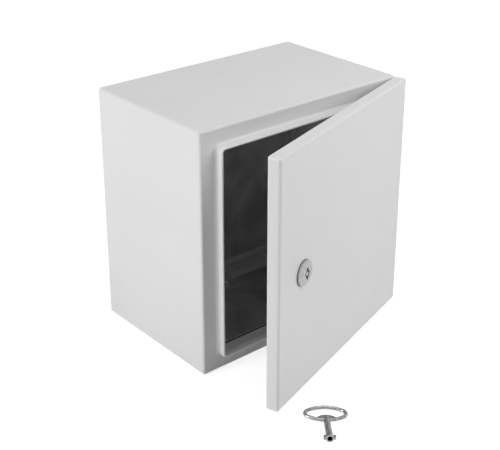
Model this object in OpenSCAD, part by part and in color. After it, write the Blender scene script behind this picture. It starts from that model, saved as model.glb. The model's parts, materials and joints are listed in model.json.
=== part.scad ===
// Steel wall enclosure with a hinged door, a double-bit quarter-turn lock and its key.
// Millimetres. The origin is the middle of the rear face, +Z is up and the door faces -Y.
// The door is drawn standing open by door_open about its hinge axis.

/* [Box] */
// Width of the box
box_w = 300; // [260:5:400]
// Height of the box
box_h = 300; // [260:5:400]
// Depth of the box, from the wall to its front flange
box_d = 191; // [160:1:300]
// Thickness of the box and door sheet
sheet = 1.5; // [1.2:0.1:1.8]
// Outside radius of the folded edges
fold_r = 3; // [2.6:0.1:3.4]
// Width of the front flange, up to the rain channel
flange_w = 20; // [20:1:28]

/* [Rain channel] */
// How far the channel stands in front of the flange
channel_h = 12; // [10:0.5:12.5]
// Corner radius of the channel, on its outer face
channel_r = 6; // [5:0.5:10]
// Radius of the fold from the flange into the channel
channel_root_r = 3; // [2:0.5:3]
// Height of the hem folded back along the channel's edge
hem_h = 6; // [4:0.5:7]

/* [Rear panel] */
// Height of the welded edge of the rear panel
rear_edge = 12; // [8:1:14]
// Diameter of the wall fixing holes
wall_hole_d = 8.5; // [6:0.5:10]
// Distance of the wall fixing holes from the sides of the box
wall_hole_inset = 25; // [20:1:30]

/* [Mounting plate] */
// Gap between the mounting plate and the side walls
plate_margin = 22; // [20:1:35]
// Thickness of the mounting plate
plate_t = 2; // [1.5:0.5:3]
// Height of the stud collars that carry the plate
plate_standoff = 16; // [12:1:20]
// Cut across the corners of the plate
plate_crop = 22; // [18:1:24]
// Distance of the studs from the edges of the plate
plate_stud_inset = 20; // [18:1:26]
// Length of the studs in front of the rear panel
plate_stud_l = 30; // [28:1:36]

/* [Gland plate] */
// Width of the gland plate
gland_w = 230; // [180:5:240]
// Depth of the gland plate
gland_d = 115; // [90:5:118]
// Distance of the gland plate behind the front flange
gland_setback = 36; // [30:1:38]
// Width of the rim that seals against the floor
gland_land = 15; // [14:1:18]
// Thickness of the gland plate
gland_t = 1.5; // [1.5:0.5:3]
// Thickness of its flat seal
gland_seal_t = 2; // [1:0.5:2]

/* [Door] */
// Gap between the front flange and the closed door
door_gap = 3; // [3:0.5:5]
// Depth of the door pan
door_d = 16; // [15:0.5:20]
// Width of the edge folded in at the back of the door
door_return = 10; // [8:0.5:12]
// Angle at which the door stands open
door_open = 18; // [0:1:90]
// Width of the foam gasket
gasket_w = 10; // [8:0.5:10]
// Gap between the gasket and the channel's edge when the door is shut
gasket_clear = 0.3; // [0.2:0.1:0.6]

/* [Hinges] */
// Distance of each hinge from the top or bottom of the box
hinge_inset = 60; // [45:1:90]
// Radius of the hinge barrels
barrel_r = 4.5; // [4.2:0.1:4.6]
// Gap between the barrels and the door sheet
barrel_clear = 1; // [0.8:0.1:1.2]
// Overall length of a hinge
hinge_l = 40; // [36:1:50]
// Length of the middle knuckle, on the box
knuckle_l = 16; // [14:1:18]
// Radius of the hinge pins
pin_r = 2.5; // [2:0.1:2.8]
// Running clearance round the pins
pin_clear = 0.05; // [0.03:0.01:0.1]

/* [Lock] */
// Distance of the lock from the free edge of the door
lock_inset = 52; // [48:1:60]
// Distance of the lock below the middle of the door
lock_drop = 0; // [0:1:20]
// Radius of the lock's round shield
shield_r = 14.75; // [14:0.25:20]
// Height of the shield in front of its seal
shield_h = 4; // [4:0.5:8]
// Thickness of the seal under the shield
lock_seal_t = 0.8; // [0.5:0.1:1.5]
// Radius of the threaded barrel through the door
lock_barrel_r = 11; // [10.8:0.1:12]
// Radius of the turning insert
insert_r = 8.6; // [8:0.1:8.8]
// How far the cam grips behind the flat of the flange
cam_grip = 8; // [5:0.5:10]
// Thickness of the cam
cam_t = 3; // [2:0.5:4]

/* [Key] */
// Width of the oval key ring
ring_w = 49; // [44:1:54]
// Radius of the ring's rod
ring_rod_r = 2; // [1.6:0.1:2.4]
// Length of the shaft from the middle of the ring
shaft_l = 46; // [40:1:54]
// Radius of the shaft at its hollow end
shaft_r = 4.25; // [4:0.05:4.4]
// Half the span of the two bits
bit_reach = 6.6; // [6.2:0.1:7]
// Thickness of the bits
bit_t = 3; // [2.4:0.1:3.2]
// Where the key lies in front of the box, from its middle
key_place = [-97, -337]; // [-400:1:400]
// Direction of the key's shaft, turned from the front
key_turn = -38; // [-180:1:180]

/* [Hidden] */
$fn = 48;

// Threads, nuts across their flats and washers
m4_r = 2;
m4_af = 7;
m4_nut_h = 3;
m5_r = 2.5;
m5_af = 8;
m5_nut_h = 5;
m5_flange_r = 5.6;
m5_flange_t = 1.2;
m6_r = 3;
m6_af = 10;
m6_nut_h = 5;
m6_washer_r = 6.3;
plate_washer_r = 6.8;
washer_t = 1.6;
washer_clear = 0.3;
thread_clear = 0.05;
hole_clear = 0.3;
stud_chamfer = 0.6;

paint = "gainsboro";
zinc = "silver";
rubber = "dimgray";
eps = 0.5;

// Overall depth with the door shut, and the inner face of the door sheet
total_d = box_d + door_gap + door_d;
door_inner = total_d - sheet;
hem_t = 2 * sheet;
channel_w = box_w - 2 * flange_w;
channel_height = box_h - 2 * flange_w;
seat_inset = flange_w + sheet;
gasket_edge_r = 1.6;

// Hinge axis: how far in from the side of the box, and in front of its rear face
axis_in = sheet + barrel_clear + barrel_r;
axis_x = box_w / 2 - axis_in;
axis_y = -(door_inner - barrel_clear - barrel_r);
hinge_z = box_h / 2 - hinge_inset;
flange_reach = -axis_y - box_d;
neck_in = barrel_r + 1.3;
neck_t = 2.7;
neck_web_t = 3;
foot_w = 7.5;
foot_t = 2;
foot_l = hinge_l - 4;
hinge_screw_head_r = 3.2;
hinge_screw_head_h = 2;
hinge_screw_z = foot_l / 2 - foot_t - hinge_screw_head_r;
hinge_screw_x = -(neck_in + neck_t) + foot_w / 2;
hinge_screw_end = box_d - sheet - m4_nut_h - 1;
leaf_t = 2.5;
leaf_w = 12;
notch_margin = 2;
knuckle_gap = 0.3;
pin_end = 1;
pin_head_r = pin_r + 1.3;
pin_head_h = 1.5;

plate_w = box_w - 2 * sheet - 2 * plate_margin;
plate_h = box_h - 2 * sheet - 2 * plate_margin;
plate_y = sheet + plate_standoff;
plate_collar_r = 7;

gland_y = -(box_d - gland_setback - gland_d / 2);
floor_z = -box_h / 2 + sheet;
gland_corner_r = 8;
stud_end = 2;

// Earth studs: inset from the sides of the box, its front flange, and the corner of the door
earth_inset = 20;
earth_setback = 22;
earth_l = 14;
door_earth_in = 60;
door_earth_up = 45;

lock_x = -box_w / 2 + lock_inset;
lock_z = -lock_drop;
cam_clear = 0.3;
axial_play = 0.1;
cam_front = -(total_d - box_d + sheet) - cam_clear;
lock_hole_clear = 0.25;
seal_rim = 0.2;
insert_head_r = insert_r + 0.7;
insert_head_h = 2;
shield_top = lock_seal_t + shield_h;
shield_edge = 1.6;
shield_rim = lock_seal_t + shield_edge;
apex_r = insert_head_r + 1;
keyhole_clear = 0.6;
socket_r = shaft_r + keyhole_clear / 2;
socket_depth = 13;
keyhole_reach = bit_reach + keyhole_clear;
keyhole_w = bit_t + keyhole_clear;
pin_sunk = 0.3;
cam_reach = lock_inset - (flange_w - channel_root_r - cam_grip);
cam_hub_r = 12;
cam_w = 18;
cam_corner_r = 4;
square_w = 9;
square_clear = 0.05;
lock_nut_af = 28;
lock_nut_h = 5;
cam_washer_r = 9;
cam_screw_af = 10;
cam_screw_h = 4;

ring_a = ring_w / 2 - ring_rod_r;
ring_b = 12;
ring_end_r = 7;
ring_side_r = (ring_a * ring_a + ring_b * ring_b - 2 * ring_a * ring_end_r) / (2 * (ring_b - ring_end_r));
ring_turn = atan((ring_side_r - ring_b) / (ring_a - ring_end_r));
ring_end_rod_r = ring_rod_r + 0.05;
ring_end_lap = 1.5;
web_r = 14;
web_top = 4;
web_t = 2.6;
bit_l = 5;
bit_corner_r = 1.2;
key_bore_r = pin_r + keyhole_clear / 2;
key_bore_l = 14;
// The shaft widens from its root to its end. The key lies on that cone and on one end of its ring.
shaft_start = ring_b - ring_rod_r - 0.5;
shaft_root_r = shaft_r - 1;
key_tilt = atan((shaft_r - shaft_root_r) / (shaft_l - shaft_start));
key_height = (shaft_root_r - shaft_start * tan(key_tilt)) * cos(key_tilt);
ring_drop = key_height - ring_end_rod_r - 0.1;
key_roll = asin(sqrt(pow(ring_drop, 2) - pow(ring_b * sin(key_tilt), 2)) / ring_a);

// ---- shared shapes ----

// A w x h outline with round corners, centred
module outline(w, h, r) {
    square([w - 2 * r, h], center = true);
    square([w, h - 2 * r], center = true);
    for (x = [-1, 1], y = [-1, 1])
        translate([x * (w / 2 - r), y * (h / 2 - r)]) circle(r = r);
}

// Stands an outline upright, running from y = -from towards the front for t
module upright(from, t) {
    translate([0, -from, 0]) rotate([90, 0, 0]) linear_extrude(t) children();
}

// A folded block w x h, running d to the front from y = 0, with round side and front edges
module folded_block(w, h, d, r, round_back) {
    back = round_back ? r : 0;
    upright(back, d - r - back) outline(w, h, r);
    upright(0, d) square([w - 2 * r, h - 2 * r], center = true);
    for (from = round_back ? [r, d - r] : [d - r])
        translate([0, -from, 0])
            for (s = [-1, 1]) {
                translate([0, 0, s * (h / 2 - r)]) rotate([0, 90, 0]) cylinder(r = r, h = w - 2 * r, center = true);
                translate([s * (w / 2 - r), 0, 0]) cylinder(r = r, h = h - 2 * r, center = true);
                for (t = [-1, 1])
                    translate([s * (w / 2 - r), 0, t * (h / 2 - r)]) sphere(r = r);
            }
}

// Runs a section round a w x h frame with corner radius r. The section's x points
// out of the frame and its y along the axis.
module frame_sweep(w, h, r) {
    for (turn = [0 : 3]) {
        long = turn % 2 == 0 ? h : w;
        wide = turn % 2 == 0 ? w : h;
        rotate(90 * turn) translate([wide / 2 - r, long / 2 - r, 0]) {
            rotate_extrude(angle = 90) translate([r, 0]) children();
            rotate([90, 0, 0]) linear_extrude(long - 2 * r) translate([r, 0]) children();
        }
    }
}

// Hexagon nut with a plain bore, standing on z = 0
module nut(af, h, bore_r) {
    difference() {
        intersection() {
            cylinder(d = af / cos(30), h = h, $fn = 6);
            cylinder(r1 = af / 2 + h, r2 = af / 2 - thread_clear, h = h);
        }
        translate([0, 0, -eps]) cylinder(r = bore_r, h = h + 2 * eps);
    }
}

module washer(r, bore_r, h) {
    difference() {
        cylinder(r = r, h = h);
        translate([0, 0, -eps]) cylinder(r = bore_r, h = h + 2 * eps);
    }
}

// A stud with a chamfered end, standing on z = 0
module stud(r, l) {
    cylinder(r = r, h = l - stud_chamfer);
    translate([0, 0, l - stud_chamfer]) cylinder(r1 = r, r2 = r - stud_chamfer, h = stud_chamfer);
}

// Puts children at height z on the hinge axis, in the frame of the box
module at_hinge(z) {
    translate([axis_x, axis_y, z]) children();
}

// Turns children that belong to the shut door to where the door stands
module on_door() {
    translate([axis_x, axis_y, 0]) rotate([0, 0, door_open]) translate([-axis_x, -axis_y, 0]) children();
}

// Puts children on the lock's axis: z = 0 is the door's face and +Z points out of it
module at_lock() {
    on_door() translate([lock_x, -total_d, lock_z]) rotate([90, 0, 0]) children();
}

// Faces children to the front at the four studs of the mounting plate
module at_plate_studs(from) {
    for (x = [-1, 1], z = [-1, 1])
        translate([x * (plate_w / 2 - plate_stud_inset), -from, z * (plate_h / 2 - plate_stud_inset)])
            rotate([90, 0, 0]) children();
}

// Children at the six studs round the gland plate, at height z
module at_gland_studs(z) {
    for (x = [-1, 0, 1], y = [-1, 1])
        translate([x * (gland_w - gland_land) / 2, gland_y + y * (gland_d - gland_land) / 2, z]) children();
}

// Children at the two screws of each body hinge, facing the front
module at_hinge_screws(from) {
    for (z = [-hinge_z, hinge_z], s = [-1, 1])
        translate([axis_x + hinge_screw_x, -from, z + s * hinge_screw_z]) rotate([90, 0, 0]) children();
}

// ---- box ----

// Section of the rain channel: a fold out of the flange, an upstand and its hem
module channel_section() {
    intersection() {
        translate([channel_root_r, box_d + channel_root_r])
            difference() {
                circle(r = channel_root_r + sheet);
                circle(r = channel_root_r);
            }
        translate([-sheet, box_d - sheet]) square(channel_root_r + sheet);
    }
    translate([channel_root_r, box_d - sheet]) square([eps, sheet]);
    translate([-sheet, box_d + channel_root_r]) square([sheet, channel_h - channel_root_r - sheet]);
    translate([-hem_t, box_d + channel_h - hem_h]) square([hem_t, hem_h - sheet]);
    translate([-sheet, box_d + channel_h - sheet]) circle(r = sheet);
}

module body_shell() {
    color(paint) {
        difference() {
            folded_block(box_w, box_h, box_d, fold_r, false);
            upright(-eps, box_d - sheet + eps) outline(box_w - 2 * sheet, box_h - 2 * sheet, fold_r - sheet);
            upright(box_d - sheet - eps, sheet + 2 * eps)
                outline(channel_w + 2 * channel_root_r, channel_height + 2 * channel_root_r, channel_r + channel_root_r);
            translate([0, gland_y, -box_h / 2 - eps]) linear_extrude(sheet + 2 * eps)
                outline(gland_w - 2 * gland_land, gland_d - 2 * gland_land, gland_corner_r);
            at_hinge_screws(box_d - sheet - eps) cylinder(r = m4_r + hole_clear, h = sheet + 2 * eps);
        }
        rotate([90, 0, 0]) frame_sweep(channel_w, channel_height, channel_r) channel_section();
    }
}

module rear_panel() {
    color(paint) difference() {
        upright(0, rear_edge) outline(box_w - 2 * sheet, box_h - 2 * sheet, fold_r - sheet);
        upright(sheet, rear_edge) square([box_w - 4 * sheet, box_h - 4 * sheet], center = true);
        for (x = [-1, 1], z = [-1, 1])
            translate([x * (box_w / 2 - wall_hole_inset), eps, z * (box_h / 2 - wall_hole_inset)])
                rotate([90, 0, 0]) cylinder(d = wall_hole_d, h = sheet + 2 * eps);
    }
}

// ---- mounting plate ----

module plate_outline() {
    w = plate_w / 2;
    h = plate_h / 2;
    c = plate_crop;
    polygon([[-w + c, -h], [w - c, -h], [w, -h + c], [w, h - c], [w - c, h], [-w + c, h], [-w, h - c], [-w, -h + c]]);
}

module mounting_plate() {
    color(zinc) difference() {
        upright(plate_y, plate_t) plate_outline();
        at_plate_studs(plate_y - eps) cylinder(r = m6_r + hole_clear, h = plate_t + 2 * eps);
    }
}

module plate_studs() {
    color(zinc) at_plate_studs(sheet) {
        stud(m6_r, plate_stud_l);
        cylinder(r = plate_collar_r, h = plate_standoff);
    }
}

module plate_washers() {
    color(zinc) at_plate_studs(plate_y + plate_t) washer(plate_washer_r, m6_r + washer_clear, washer_t);
}

module plate_nuts() {
    color(zinc) at_plate_studs(plate_y + plate_t + washer_t) nut(m6_af, m6_nut_h, m6_r + thread_clear);
}

// ---- gland plate ----

module gland_seal() {
    color(rubber) difference() {
        translate([0, gland_y, floor_z]) linear_extrude(gland_seal_t) difference() {
            outline(gland_w, gland_d, gland_corner_r);
            outline(gland_w - 2 * gland_land, gland_d - 2 * gland_land, gland_corner_r);
        }
        at_gland_studs(floor_z - eps) cylinder(r = m5_r + hole_clear, h = gland_seal_t + 2 * eps);
    }
}

module gland_plate() {
    color(zinc) difference() {
        translate([0, gland_y, floor_z + gland_seal_t]) linear_extrude(gland_t) outline(gland_w, gland_d, gland_corner_r);
        at_gland_studs(floor_z + gland_seal_t - eps) cylinder(r = m5_r + hole_clear, h = gland_t + 2 * eps);
    }
}

module gland_studs() {
    color(zinc) at_gland_studs(floor_z) stud(m5_r, gland_seal_t + gland_t + m5_nut_h + stud_end);
}

// Flanged hexagon nuts
module gland_nuts() {
    color(zinc) at_gland_studs(floor_z + gland_seal_t + gland_t) {
        nut(m5_af, m5_nut_h, m5_r + thread_clear);
        washer(m5_flange_r, m5_r + thread_clear, m5_flange_t);
    }
}

// ---- hinges ----

// The box side of a hinge: a foot on the flange, a swan neck and the middle knuckle
module body_hinge() {
    difference() {
        union() {
            translate([-(neck_in + neck_t), flange_reach - foot_t, -foot_l / 2]) cube([foot_w, foot_t, foot_l]);
            translate([-(neck_in + neck_t), -neck_web_t / 2, -knuckle_l / 2])
                cube([neck_t, flange_reach + neck_web_t / 2, knuckle_l]);
            translate([-neck_in - eps, -neck_web_t / 2, -knuckle_l / 2]) cube([neck_in + eps, neck_web_t, knuckle_l]);
            cylinder(r = barrel_r, h = knuckle_l, center = true);
        }
        cylinder(r = pin_r + pin_clear, h = knuckle_l + 2 * eps, center = true);
        for (s = [-1, 1])
            translate([hinge_screw_x, flange_reach + eps, s * hinge_screw_z])
                rotate([90, 0, 0]) cylinder(r = m4_r + hole_clear, h = foot_t + 2 * eps);
    }
}

// The door side of a hinge: a leaf welded into the door's fold with two knuckles
module door_hinge() {
    side = (hinge_l - knuckle_l) / 2 - knuckle_gap;
    difference() {
        union() {
            translate([axis_in - sheet - leaf_w, -(barrel_r + barrel_clear), -hinge_l / 2])
                cube([leaf_w, leaf_t, hinge_l]);
            for (s = [-1, 1])
                translate([0, 0, s * (hinge_l - side) / 2]) {
                    cylinder(r = barrel_r, h = side, center = true);
                    translate([-barrel_r, -barrel_r - barrel_clear, -side / 2])
                        cube([2 * barrel_r, barrel_r + barrel_clear, side]);
                }
        }
        cylinder(r = pin_r + pin_clear, h = hinge_l + 2 * eps, center = true);
        cylinder(r = barrel_r + knuckle_gap, h = knuckle_l + 2 * knuckle_gap, center = true);
    }
}

module hinge_pin() {
    translate([0, 0, -hinge_l / 2 - pin_end]) cylinder(r = pin_r, h = hinge_l + pin_end);
    translate([0, 0, hinge_l / 2]) cylinder(r = pin_head_r, h = pin_head_h);
}

module upper_body_hinge() {
    color(zinc) at_hinge(hinge_z) body_hinge();
}

module lower_body_hinge() {
    color(zinc) at_hinge(-hinge_z) body_hinge();
}

module upper_door_hinge() {
    color(zinc) on_door() at_hinge(hinge_z) door_hinge();
}

module lower_door_hinge() {
    color(zinc) on_door() at_hinge(-hinge_z) door_hinge();
}

module upper_hinge_pin() {
    color(zinc) on_door() at_hinge(hinge_z) hinge_pin();
}

module lower_hinge_pin() {
    color(zinc) on_door() at_hinge(-hinge_z) hinge_pin();
}

// Pan-head screws from the front, through foot and flange
module hinge_screws() {
    color(zinc) {
        at_hinge_screws(box_d + foot_t)
            cylinder(r1 = hinge_screw_head_r, r2 = hinge_screw_head_r - stud_chamfer, h = hinge_screw_head_h);
        at_hinge_screws(hinge_screw_end) cylinder(r = m4_r, h = box_d + foot_t - hinge_screw_end);
    }
}

module hinge_nuts() {
    color(zinc) at_hinge_screws(box_d - sheet - m4_nut_h) nut(m4_af, m4_nut_h, m4_r + thread_clear);
}

// ---- earth studs ----

module at_earth(z) {
    translate([box_w / 2 - earth_inset, -(box_d - earth_setback), floor_z + z]) children();
}

module at_door_earth(z) {
    on_door()
        translate([box_w / 2 - door_earth_in, -door_inner + z, -box_h / 2 + door_earth_up]) rotate([-90, 0, 0]) children();
}

module earth_stud() {
    color(zinc) at_earth(0) stud(m6_r, earth_l);
}

module earth_washer() {
    color(zinc) at_earth(0) washer(m6_washer_r, m6_r + washer_clear, washer_t);
}

module earth_nut() {
    color(zinc) at_earth(washer_t) nut(m6_af, m6_nut_h, m6_r + thread_clear);
}

module door_earth_stud() {
    color(zinc) at_door_earth(0) stud(m6_r, earth_l);
}

module door_earth_washer() {
    color(zinc) at_door_earth(0) washer(m6_washer_r, m6_r + washer_clear, washer_t);
}

module door_earth_nut() {
    color(zinc) at_door_earth(washer_t) nut(m6_af, m6_nut_h, m6_r + thread_clear);
}

// ---- door ----

module door_panel() {
    color(paint) on_door() translate([0, -box_d - door_gap, 0]) difference() {
        folded_block(box_w, box_h, door_d, fold_r, true);
        upright(sheet, door_d - 2 * sheet) outline(box_w - 2 * sheet, box_h - 2 * sheet, fold_r - sheet);
        upright(-eps, sheet + 2 * eps) outline(box_w - 2 * door_return, box_h - 2 * door_return, fold_r);
        // clearance for the swan necks of the hinges
        for (z = [-hinge_z, hinge_z])
            translate([box_w / 2 - door_return - eps, -door_d + fold_r, z - hinge_l / 2 - notch_margin])
                cube([door_return + 2 * eps, door_d, hinge_l + 2 * notch_margin]);
        translate([lock_x, -door_d + sheet + eps, lock_z]) rotate([90, 0, 0])
            cylinder(r = lock_barrel_r + lock_hole_clear, h = sheet + 2 * eps);
    }
}

// Section of the foam gasket: flat on the door, round towards the box
module gasket_section() {
    h = door_inner - box_d - channel_h - gasket_clear;
    r = gasket_edge_r;
    translate([-gasket_w / 2, -door_inner]) square([gasket_w, h - r]);
    translate([-gasket_w / 2 + r, -door_inner]) square([gasket_w - 2 * r, h]);
    for (s = [-1, 1])
        translate([s * (gasket_w / 2 - r), -door_inner + h - r]) circle(r = r);
}

module door_gasket() {
    color(rubber) on_door() rotate([90, 0, 0]) mirror([0, 0, 1])
        frame_sweep(box_w - 2 * seat_inset, box_h - 2 * seat_inset, gasket_w / 2 + gasket_edge_r) gasket_section();
}

// ---- lock ----

module lock_seal() {
    color(rubber) at_lock() washer(shield_r + seal_rim, lock_barrel_r + seal_rim, lock_seal_t);
}

// Domed shield with a threaded barrel through the door
module lock_housing() {
    drop = shield_top - shield_rim;
    dome_centre = (shield_top * shield_top + apex_r * apex_r - shield_rim * shield_rim - shield_r * shield_r) / (2 * drop);
    dome_r = sqrt(apex_r * apex_r + (shield_top - dome_centre) * (shield_top - dome_centre));
    rear = cam_front + axial_play;
    color(zinc) at_lock() difference() {
        union() {
            intersection() {
                translate([0, 0, lock_seal_t]) cylinder(r = shield_r, h = shield_h);
                translate([0, 0, dome_centre]) sphere(r = dome_r);
            }
            translate([0, 0, rear]) cylinder(r = lock_barrel_r, h = lock_seal_t - rear + eps);
        }
        translate([0, 0, rear - eps]) cylinder(r = insert_r + pin_clear, h = shield_top - rear + 2 * eps);
        translate([0, 0, shield_top - insert_head_h - axial_play])
            cylinder(r = insert_head_r + pin_clear, h = insert_head_h + eps);
    }
}

module lock_nut() {
    color(zinc) at_lock() translate([0, 0, -sheet - lock_nut_h]) nut(lock_nut_af, lock_nut_h, lock_barrel_r + thread_clear);
}

// Turning insert: a sleeve with the double-bit keyhole along it
module lock_insert() {
    color(zinc) at_lock() difference() {
        union() {
            translate([0, 0, shield_top - socket_depth]) cylinder(r = insert_r, h = socket_depth);
            translate([0, 0, shield_top - insert_head_h]) cylinder(r = insert_head_r, h = insert_head_h);
        }
        translate([0, 0, shield_top - socket_depth - eps]) cylinder(r = socket_r, h = socket_depth + 2 * eps);
        translate([-keyhole_w / 2, -keyhole_reach, shield_top - socket_depth - eps])
            cube([keyhole_w, 2 * keyhole_reach, socket_depth + 2 * eps]);
    }
}

// Spindle behind the insert: the keyhole's pin in front and a square for the cam behind
module lock_spindle() {
    color(zinc) at_lock() {
        translate([0, 0, cam_front]) cylinder(r = insert_r, h = shield_top - socket_depth - cam_front);
        translate([0, 0, shield_top - socket_depth]) cylinder(r = pin_r, h = socket_depth - pin_sunk);
        translate([-square_w / 2, -square_w / 2, cam_front - cam_t]) cube([square_w, square_w, cam_t]);
    }
}

module lock_cam() {
    color(zinc) at_lock() translate([0, 0, cam_front - cam_t]) difference() {
        linear_extrude(cam_t) {
            circle(r = cam_hub_r);
            translate([0, -cam_reach / 2]) outline(cam_w, cam_reach, cam_corner_r);
        }
        translate([0, 0, -eps]) linear_extrude(cam_t + 2 * eps) square(square_w + 2 * square_clear, center = true);
    }
}

module cam_washer() {
    color(zinc) at_lock() translate([0, 0, cam_front - cam_t - washer_t]) cylinder(r = cam_washer_r, h = washer_t);
}

module cam_screw() {
    color(zinc) at_lock() translate([0, 0, cam_front - cam_t - washer_t - cam_screw_h])
        cylinder(d = cam_screw_af / cos(30), h = cam_screw_h, $fn = 6);
}

// ---- key ----

// Oval ring of four arcs. The end arcs are a hair thicker and run past the joints.
module ring_rod() {
    end_turn = ring_turn + ring_end_lap;
    for (s = [0, 180])
        rotate(s) {
            translate([ring_a - ring_end_r, 0]) rotate(-end_turn)
                rotate_extrude(angle = 2 * end_turn) translate([ring_end_r, 0]) circle(r = ring_end_rod_r);
            translate([0, -(ring_side_r - ring_b)]) rotate(ring_turn)
                rotate_extrude(angle = 180 - 2 * ring_turn) translate([ring_side_r, 0]) circle(r = ring_rod_r);
        }
}

// Key lying on its shaft, which points along -Y before it is turned
module key() {
    color(zinc)
        translate([key_place.x, key_place.y, -box_h / 2 + key_height])
            rotate([0, 0, key_turn]) rotate([-key_tilt, 0, 0]) rotate([0, key_roll, 0]) difference() {
                union() {
                    ring_rod();
                    translate([0, 0, -web_t / 2]) linear_extrude(web_t) intersection() {
                        translate([0, ring_side_r - ring_b]) circle(r = ring_side_r);
                        translate([0, -web_top - web_r]) circle(r = web_r);
                    }
                    translate([0, -shaft_start, 0]) rotate([90, 0, 0])
                        cylinder(r1 = shaft_root_r, r2 = shaft_r, h = shaft_l - shaft_start);
                    translate([0, -shaft_l + bit_l / 2, -bit_t / 2])
                        linear_extrude(bit_t) outline(2 * bit_reach, bit_l, bit_corner_r);
                }
                translate([0, -shaft_l - eps, 0]) rotate([-90, 0, 0]) cylinder(r = key_bore_r, h = key_bore_l + eps);
            }
}

body_shell();
rear_panel();
mounting_plate();
plate_studs();
plate_washers();
plate_nuts();
gland_seal();
gland_plate();
gland_studs();
gland_nuts();
upper_body_hinge();
lower_body_hinge();
hinge_screws();
hinge_nuts();
earth_stud();
earth_washer();
earth_nut();
door_panel();
door_gasket();
upper_door_hinge();
lower_door_hinge();
upper_hinge_pin();
lower_hinge_pin();
lock_housing();
lock_seal();
lock_nut();
door_earth_stud();
door_earth_washer();
door_earth_nut();
lock_insert();
lock_spindle();
lock_cam();
cam_washer();
cam_screw();
key();
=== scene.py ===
import json
import math

import bmesh
import bpy
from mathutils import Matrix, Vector


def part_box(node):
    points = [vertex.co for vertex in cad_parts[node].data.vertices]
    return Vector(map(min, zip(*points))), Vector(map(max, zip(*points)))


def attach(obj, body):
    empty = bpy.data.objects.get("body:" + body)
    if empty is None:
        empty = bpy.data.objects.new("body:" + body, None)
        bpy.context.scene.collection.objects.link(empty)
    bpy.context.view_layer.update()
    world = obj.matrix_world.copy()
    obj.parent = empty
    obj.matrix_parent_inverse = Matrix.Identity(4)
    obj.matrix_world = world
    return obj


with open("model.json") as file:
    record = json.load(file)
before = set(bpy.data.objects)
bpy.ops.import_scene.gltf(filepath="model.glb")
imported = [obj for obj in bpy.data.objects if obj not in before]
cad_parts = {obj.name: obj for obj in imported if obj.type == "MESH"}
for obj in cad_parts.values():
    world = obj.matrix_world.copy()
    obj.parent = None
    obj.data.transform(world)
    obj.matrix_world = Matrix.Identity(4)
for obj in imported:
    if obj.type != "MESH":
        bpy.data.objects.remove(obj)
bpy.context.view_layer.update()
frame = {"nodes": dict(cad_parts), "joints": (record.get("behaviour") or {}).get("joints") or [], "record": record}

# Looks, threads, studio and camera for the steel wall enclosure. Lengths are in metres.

MM = 0.001
nodes = frame["nodes"]


# ---- places taken from the frame ----

joints = {joint["name"]: joint for joint in frame["joints"]}
lock_at = Vector(joints["lock_turn"]["pos_m"])
lock_out = Vector(joints["lock_turn"]["axis"]).normalized()
shell_lo, shell_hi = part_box("body_shell")
shell_middle = (shell_lo + shell_hi) / 2
floor_z = shell_lo.z


# ---- helpers for objects and nodes ----

def add_object(name, data):
    thing = bpy.data.objects.new(name, data)
    bpy.context.collection.objects.link(thing)
    return thing


def aim(thing, back):
    """Turns a camera or lamp so that it looks away from `back`, with its top up."""
    thing.rotation_mode = "QUATERNION"
    thing.rotation_quaternion = (-back).to_track_quat("-Z", "Y")


def add_node(tree, kind, **inputs):
    """A new shader node with the named inputs set. An underscore stands for a space."""
    node = tree.nodes.new("ShaderNode" + kind)
    for name, value in inputs.items():
        node.inputs[name.replace("_", " ")].default_value = value
    return node


# ---- camera, fitted to the corners of box and door in the photograph ----

CAMERA_AT = (-0.7939, -1.0310, 0.5554)
CAMERA_AZIMUTH = math.radians(-40.34)
CAMERA_ELEVATION = math.radians(23.22)
CAMERA_SENSOR, CAMERA_LENS = 36, 78.06
CAMERA_SHIFT = -0.1
CAMERA_CLIP = (0.05, 50)


def add_camera():
    data = bpy.data.cameras.new("camera")
    data.sensor_width = CAMERA_SENSOR
    data.lens = CAMERA_LENS
    data.shift_y = CAMERA_SHIFT
    data.clip_start, data.clip_end = CAMERA_CLIP
    camera = add_object("camera", data)
    camera.location = CAMERA_AT
    level = math.cos(CAMERA_ELEVATION)
    aim(camera, Vector((math.sin(CAMERA_AZIMUTH) * level,
                        -math.cos(CAMERA_AZIMUTH) * level,
                        math.sin(CAMERA_ELEVATION))))
    bpy.context.scene.camera = camera


add_camera()


# ---- materials, one for each slot ----

RAMP_START, RAMP_END = 0.3, 0.7


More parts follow.
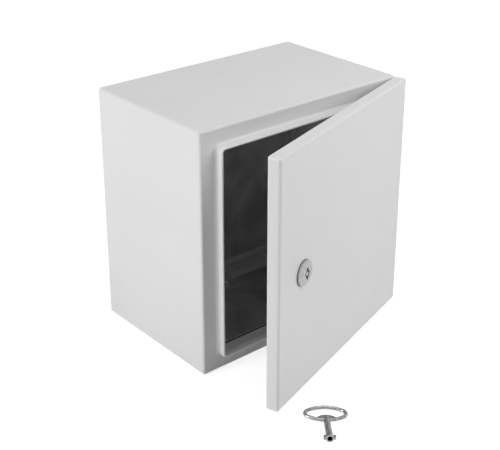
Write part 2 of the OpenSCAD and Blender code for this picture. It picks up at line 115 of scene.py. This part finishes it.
class Shader:
    """A Principled material with short calls for the textures that feed it."""

    def __init__(self, name, **inputs):
        self.material = bpy.data.materials.new(name)
        self.material.use_nodes = True
        self.tree = self.material.node_tree
        self.bsdf = next(n for n in self.tree.nodes if n.type == "BSDF_PRINCIPLED")
        self.coords = add_node(self.tree, "TexCoord").outputs["Object"]
        for socket, value in inputs.items():
            self.bsdf.inputs[socket.replace("_", " ")].default_value = value

    def link(self, source, target):
        self.tree.links.new(source, target)

    def stretch(self, x, y, z):
        mapping = add_node(self.tree, "Mapping", Scale=(x, y, z))
        self.link(self.coords, mapping.inputs["Vector"])
        return mapping.outputs["Vector"]

    def noise(self, scale, detail=3, roughness=0.5, distortion=0, vector=None):
        noise = add_node(self.tree, "TexNoise", Scale=scale, Detail=detail,
                         Roughness=roughness, Distortion=distortion)
        self.link(vector or self.coords, noise.inputs["Vector"])
        return noise.outputs["Fac"]

    def ramp(self, fac, low, high):
        """Maps fac to a grey between low and high."""
        ramp = add_node(self.tree, "ValToRGB")
        ends = zip(ramp.color_ramp.elements, (RAMP_START, RAMP_END), (low, high))
        for element, position, value in ends:
            element.position = position
            element.color = (value, value, value, 1)
        self.link(fac, ramp.inputs["Fac"])
        return ramp.outputs["Color"]

    def color(self, output):
        self.link(output, self.bsdf.inputs["Base Color"])

    def roughness(self, output):
        self.link(output, self.bsdf.inputs["Roughness"])

    def bump(self, *layers):
        """Each layer is (height, distance)."""
        normal = None
        for height, distance in layers:
            bump = add_node(self.tree, "Bump", Distance=distance)
            self.link(height, bump.inputs["Height"])
            if normal:
                self.link(normal, bump.inputs["Normal"])
            normal = bump.outputs["Normal"]
        self.link(normal, self.bsdf.inputs["Normal"])


PAINT, PAINT_CLOUDS = 0.66, 0.012


def make_paint():
    """Powder coat: faint clouds, fine orange peel and a semi-gloss skin."""
    s = Shader("grey_paint", IOR=1.5)
    clouds = s.noise(9, detail=4, roughness=0.6)
    s.color(s.ramp(clouds, PAINT - PAINT_CLOUDS, PAINT + PAINT_CLOUDS))
    s.roughness(s.ramp(s.noise(40), 0.33, 0.42))
    orange_peel = s.noise(650, detail=2, roughness=0.4)
    waves = s.noise(22, detail=2)
    s.bump((orange_peel, 0.04 * MM), (waves, 0.06 * MM))
    return s.material


def make_galvanised():
    """Zinc-plated sheet with cloudy smears and a faint rolling grain."""
    s = Shader("galvanised_sheet", Metallic=1.0)
    clouds = s.noise(14, detail=5, roughness=0.55, distortion=0.8)
    s.color(s.ramp(clouds, 0.40, 0.66))
    s.roughness(s.ramp(s.noise(30, detail=4, roughness=0.6, distortion=0.4), 0.34, 0.56))
    grain = s.noise(260, detail=2, vector=s.stretch(0.08, 1, 1))
    s.bump((grain, 0.02 * MM), (clouds, 0.2 * MM))
    return s.material


def make_zinc():
    """Plated fasteners and pressed hinge parts."""
    s = Shader("zinc_plate", Metallic=1.0)
    s.color(s.ramp(s.noise(150, detail=4), 0.50, 0.66))
    s.roughness(s.ramp(s.noise(420), 0.24, 0.42))
    s.bump((s.noise(1200), 0.02 * MM))
    return s.material


def make_cast_zinc():
    """Satin die casting with a sand-like skin, for the lock."""
    s = Shader("cast_zinc", Metallic=0.85)
    s.color(s.ramp(s.noise(220, detail=4), 0.40, 0.52))
    s.roughness(s.ramp(s.noise(500), 0.46, 0.6))
    s.bump((s.noise(1500, roughness=0.6), 0.03 * MM))
    return s.material


def make_bright_zinc():
    """Polished casting, slightly uneven and finely scratched, for the key."""
    s = Shader("bright_zinc", Metallic=1.0)
    s.color(s.ramp(s.noise(300, detail=4), 0.20, 0.42))
    s.roughness(s.ramp(s.noise(700), 0.10, 0.22))
    dents = s.noise(260)
    scratches = s.noise(2600, detail=2)
    s.bump((dents, 0.12 * MM), (scratches, 0.02 * MM))
    return s.material


def make_foam():
    """Foamed gasket: matt, with open pores."""
    s = Shader("foam_gasket", Specular_IOR_Level=0.25)
    s.color(s.ramp(s.noise(1400), 0.028, 0.055))
    s.roughness(s.ramp(s.noise(900, detail=2), 0.75, 0.95))
    pores = s.noise(1600, roughness=0.7)
    waves = s.noise(90, detail=2)
    s.bump((pores, 0.12 * MM), (waves, 0.2 * MM))
    return s.material


def make_rubber():
    """Moulded flat seals."""
    s = Shader("black_rubber", Specular_IOR_Level=0.4)
    s.color(s.ramp(s.noise(500), 0.02, 0.035))
    s.roughness(s.ramp(s.noise(800, detail=2), 0.5, 0.68))
    s.bump((s.noise(2000, detail=2), 0.03 * MM))
    return s.material


MATERIALS = {
    "grey_paint": make_paint(),
    "galvanised_sheet": make_galvanised(),
    "zinc_plate": make_zinc(),
    "cast_zinc": make_cast_zinc(),
    "bright_zinc": make_bright_zinc(),
    "foam_gasket": make_foam(),
    "black_rubber": make_rubber(),
}


def dress_cad_nodes():
    """Gives every CAD node the material of its slot."""
    slots = {row["node"]: row["material_slot"] for row in frame["record"]["subparts"]}
    for name, node in nodes.items():
        node.data.materials.clear()
        node.data.materials.append(MATERIALS[slots[name]])


dress_cad_nodes()


# ---- broken edges on the cut and machined metal ----

EDGE_BREAK = {
    0.10 * MM: ("cam_screw", "plate_nuts", "gland_nuts", "hinge_nuts", "earth_nut",
                "door_earth_nut"),
    0.20 * MM: ("mounting_plate", "gland_plate", "lock_cam", "lock_nut", "lock_insert"),
}
SHARP_EDGE = math.radians(50)


def break_edges():
    for width, names in EDGE_BREAK.items():
        for name in names:
            bevel = nodes[name].modifiers.new("edge_break", "BEVEL")
            bevel.width = width
            bevel.segments = 2
            bevel.limit_method = "ANGLE"
            bevel.angle_limit = SHARP_EDGE
            bevel.use_clamp_overlap = True


break_edges()


# ---- threads on the plain studs and on the lock's barrel ----

M5_R, M6_R, BARREL_R = 2.5 * MM, 3.0 * MM, 11 * MM
M5_PITCH, M6_PITCH, BARREL_PITCH = 0.8 * MM, 1.0 * MM, 1.5 * MM
STEPS_PER_TURN = 28

# Each point of the ridge is (along in pitches, outward in ridge heights).
RIDGE = ((-0.42, -1), (-0.08, 1), (0.08, 1), (0.42, -1))
RIDGE_HEIGHT = 0.12  # of the pitch, into the stud and out of it

THREAD_SHORT = 0.8 * MM    # from a thread to its stud's end
PLATE_COLLAR_R = 7 * MM    # the collars bound the box of plate_studs
GLAND_STACK = 4 * MM       # past seal and gland plate, up to which the studs stay plain
DOOR_STUD_LENGTH = 14 * MM
BARREL_FROM = 6.5 * MM     # behind the lock's place: the door sheet and the lock nut
BARREL_TO = 20.4 * MM      # behind the lock's place: near the barrel's rear


def thread(name, body, start, along, radius, length, pitch, slot):
    """A helical ridge from `start`, for `length` in the direction `along`."""
    along = Vector(along).normalized()
    side = along.orthogonal().normalized()
    other = along.cross(side)
    mesh = bmesh.new()
    rings = []
    for i in range(int(STEPS_PER_TURN * length / pitch) + 1):
        turn = 2 * math.pi * i / STEPS_PER_TURN
        out = side * math.cos(turn) + other * math.sin(turn)
        at = Vector(start) + along * (pitch * i / STEPS_PER_TURN)
        rings.append([
            mesh.verts.new(at + along * (pitch * a) + out * (radius + RIDGE_HEIGHT * pitch * r))
            for a, r in RIDGE
        ])
    for one, two in zip(rings, rings[1:]):
        for j in range(len(one) - 1):
            mesh.faces.new((one[j], one[j + 1], two[j + 1], two[j]))
    for end in (rings[0], rings[-1]):
        mesh.faces.new(end)
    bmesh.ops.recalc_face_normals(mesh, faces=mesh.faces)
    data = bpy.data.meshes.new(name)
    mesh.to_mesh(data)
    mesh.free()
    piece = add_object(name, data)
    data.materials.append(MATERIALS[slot])
    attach(piece, body)


def corners(node, inset):
    """The four places in x and z that lie `inset` inside the box of a node."""
    lo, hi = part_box(node)
    return [(x, z) for x in (lo.x + inset, hi.x - inset) for z in (lo.z + inset, hi.z - inset)]


def add_plate_threads():
    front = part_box("mounting_plate")[0].y
    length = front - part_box("plate_studs")[0].y - THREAD_SHORT
    for i, (x, z) in enumerate(corners("plate_studs", PLATE_COLLAR_R), 1):
        thread("plate_thread_%d" % i, "box", (x, front, z), (0, -1, 0),
               M6_R, length, M6_PITCH, "zinc_plate")


def add_earth_thread():
    lo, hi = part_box("earth_stud")
    middle = (lo + hi) / 2
    thread("earth_thread", "box", (middle.x, middle.y, lo.z + THREAD_SHORT), (0, 0, 1),
           M6_R, hi.z - lo.z - 2 * THREAD_SHORT, M6_PITCH, "zinc_plate")


def add_gland_threads():
    lo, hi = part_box("gland_studs")
    length = hi.z - lo.z - GLAND_STACK - THREAD_SHORT
    for i, x in enumerate((lo.x + M5_R, (lo.x + hi.x) / 2, hi.x - M5_R), 1):
        for j, y in enumerate((lo.y + M5_R, hi.y - M5_R), 1):
            thread("gland_thread_%d_%d" % (i, j), "box", (x, y, lo.z + GLAND_STACK), (0, 0, 1),
                   M5_R, length, M5_PITCH, "zinc_plate")


def add_door_threads():
    """Both stand square to the door, as the lock's axis does."""
    lo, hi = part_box("door_earth_stud")
    length = DOOR_STUD_LENGTH - 2 * THREAD_SHORT
    thread("door_earth_thread", "door", (lo + hi) / 2 + lock_out * (length / 2), -lock_out,
           M6_R, length, M6_PITCH, "zinc_plate")
    thread("barrel_thread", "door", lock_at - lock_out * BARREL_FROM, -lock_out,
           BARREL_R, BARREL_TO - BARREL_FROM, BARREL_PITCH, "cast_zinc")


add_plate_threads()
add_earth_thread()
add_gland_threads()
add_door_threads()


# ---- studio ----

FLOOR_SIZE = 12
FLOOR_DROP = 0.2 * MM              # keeps the floor just below the box
FLOOR_TONE = 0.78                  # lights the object from below
FLOOR_TONE_SEEN = 0.42             # seen on top of the glow, so the shadow shows
GLOW_NEAR, GLOW_FAR = 0.80, 0.97   # the glow grows outward, so no horizon shows
NEAR, FAR = 0.7, 2.5
AMBIENT = 0.15
LAMP_DISTANCE = 1.6

# Each row is name, direction from the box, side in metres, power in watts, and whether
# gloss mirrors it. The front lamp's mirror image would bleach the top in views from behind.
SOFTBOXES = (
    ("left_softbox", (-1.0, 0.12, 0.25), 0.7, 15.4, True),
    ("top_softbox", (0.0, -0.10, 1.0), 1.2, 7.6, True),
    ("front_softbox", (0.60, -1.0, 0.90), 1.1, 15.8, False),
)


def seen_directly(tree):
    """1 for camera, glossy and transmission rays, 0 for the rays that light things."""
    path = add_node(tree, "LightPath")
    total = path.outputs["Is Camera Ray"]
    for name in ("Is Glossy Ray", "Is Transmission Ray"):
        either = add_node(tree, "Math")
        either.operation = "MAXIMUM"
        tree.links.new(total, either.inputs[0])
        tree.links.new(path.outputs[name], either.inputs[1])
        total = either.outputs[0]
    return total


def grey(value):
    return (value, value, value, 1)


def make_floor_material():
    """White paper with real light and shade, lifted to white where it is seen directly."""
    material = bpy.data.materials.new("studio_floor")
    material.use_nodes = True
    tree = material.node_tree
    tree.nodes.clear()
    out = add_node(tree, "OutputMaterial")
    diffuse = add_node(tree, "BsdfDiffuse", Color=grey(FLOOR_TONE))
    seen = add_node(tree, "BsdfDiffuse", Color=grey(FLOOR_TONE_SEEN))
    glow = add_node(tree, "Emission")
    place = add_node(tree, "TexCoord")
    reach = add_node(tree, "VectorMath")
    reach.operation = "LENGTH"
    level = add_node(tree, "MapRange", From_Min=NEAR, From_Max=FAR,
                     To_Min=GLOW_NEAR, To_Max=GLOW_FAR)
    lifted = add_node(tree, "AddShader")
    mix = add_node(tree, "MixShader")
    tree.links.new(place.outputs["Object"], reach.inputs[0])
    tree.links.new(reach.outputs["Value"], level.inputs["Value"])
    tree.links.new(level.outputs["Result"], glow.inputs["Strength"])
    tree.links.new(seen.outputs[0], lifted.inputs[0])
    tree.links.new(glow.outputs[0], lifted.inputs[1])
    tree.links.new(seen_directly(tree), mix.inputs[0])
    tree.links.new(diffuse.outputs[0], mix.inputs[1])
    tree.links.new(lifted.outputs[0], mix.inputs[2])
    tree.links.new(mix.outputs[0], out.inputs["Surface"])
    return material


def add_floor():
    bpy.ops.mesh.primitive_plane_add(size=FLOOR_SIZE, location=(0, 0, floor_z - FLOOR_DROP))
    floor = bpy.context.object
    floor.name = "studio_floor"
    floor.data.materials.append(make_floor_material())


def add_world():
    """Dim where it lights things, white where it is seen directly."""
    world = bpy.data.worlds.new("studio")
    bpy.context.scene.world = world
    world.use_nodes = True
    tree = world.node_tree
    background = next(n for n in tree.nodes if n.type == "BACKGROUND")
    background.inputs["Color"].default_value = grey(1)
    level = add_node(tree, "MapRange", To_Min=AMBIENT, To_Max=1.0)
    tree.links.new(seen_directly(tree), level.inputs["Value"])
    tree.links.new(level.outputs["Result"], background.inputs["Strength"])


def add_softbox(name, toward, size, power, mirrored):
    """A square area lamp in the direction `toward` from the box, facing it."""
    data = bpy.data.lights.new(name, "AREA")
    data.shape = "SQUARE"
    data.size = size
    data.energy = power
    lamp = add_object(name, data)
    lamp.visible_glossy = mirrored
    direction = Vector(toward).normalized()
    lamp.location = shell_middle + direction * LAMP_DISTANCE
    aim(lamp, direction)


add_floor()
add_world()
for softbox in SOFTBOXES:
    add_softbox(*softbox)

scene = bpy.context.scene
scene.view_settings.view_transform = "Standard"
